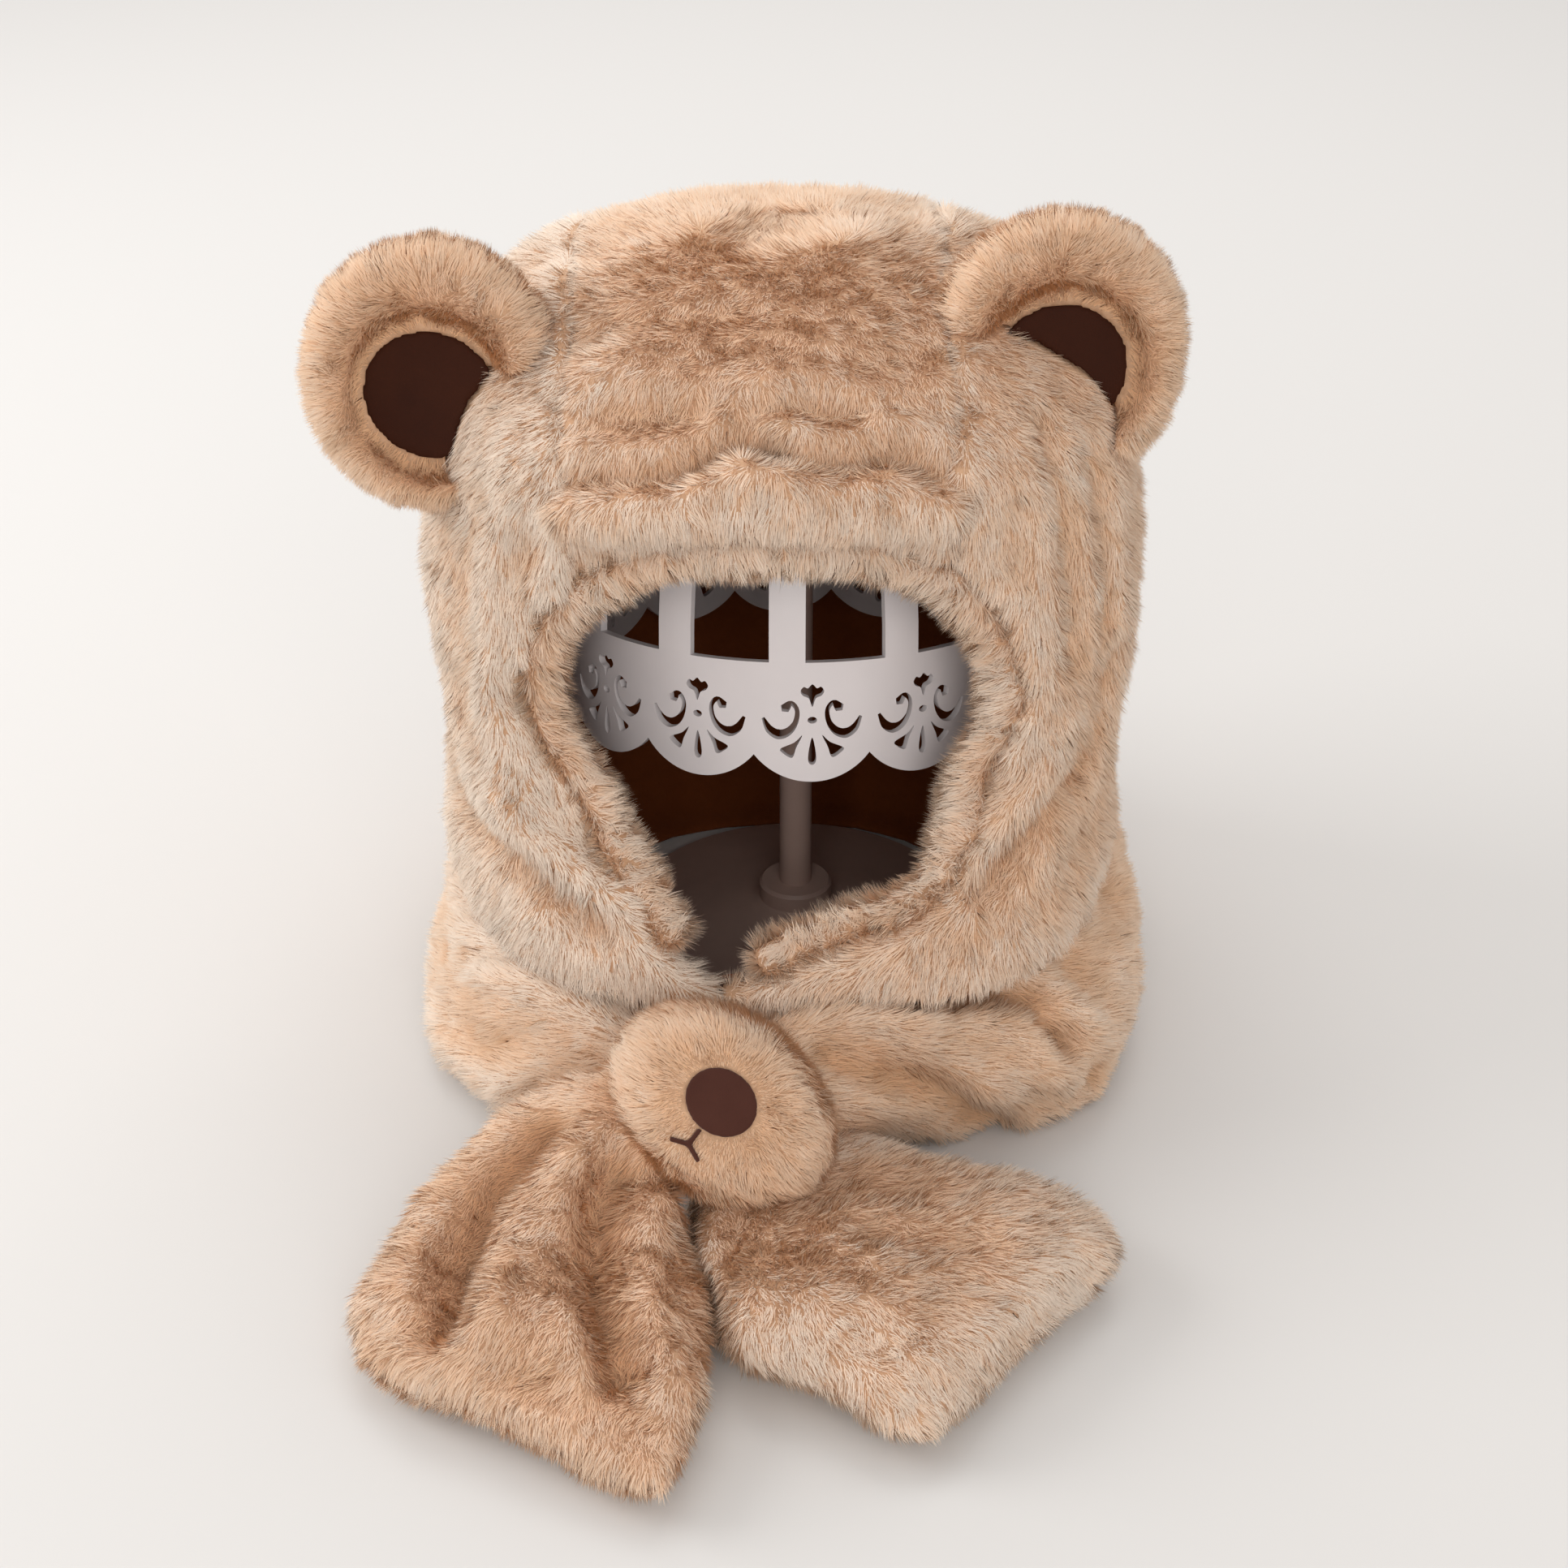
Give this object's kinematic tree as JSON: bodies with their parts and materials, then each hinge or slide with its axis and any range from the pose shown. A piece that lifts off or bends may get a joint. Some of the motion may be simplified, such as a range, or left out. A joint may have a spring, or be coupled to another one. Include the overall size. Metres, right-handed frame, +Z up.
{
  "type": "animal hood scarf on a hat stand",
  "caption": "Plush bear hood with round ears and a scarf tied through a muzzle-shaped loop, set on a pierced plastic hat stand.",
  "frame": {"origin": "middle of the stand's base, on its underside where it meets the table", "axes": "+Z up, -Y the way the face looks, +X to the right as seen from in front"},
  "size_m": [0.2492, 0.3821, 0.2589],
  "materials": {
    "plush": "short dense faux fur, warm beige",
    "lining_cloth": "dark brown brushed cloth",
    "felt": "brown felt and thread",
    "stand_plastic": "white moulded plastic, satin"
  },
  "bodies": {
    "root": {"crown_panel": "plush", "side_panel_left": "plush", "side_panel_right": "plush", "face_edge_band": "plush", "hood_lining": "lining_cloth", "ear_left": "plush", "ear_left_patch": "lining_cloth", "ear_right": "plush", "ear_right_patch": "lining_cloth", "scarf_right": "plush", "scarf_left": "plush", "muzzle_loop": "plush", "nose": "felt", "mouth_stitch": "felt", "stand_base": "stand_plastic", "stand_post": "stand_plastic", "stand_cap": "stand_plastic"}
  },
  "joints": []
}
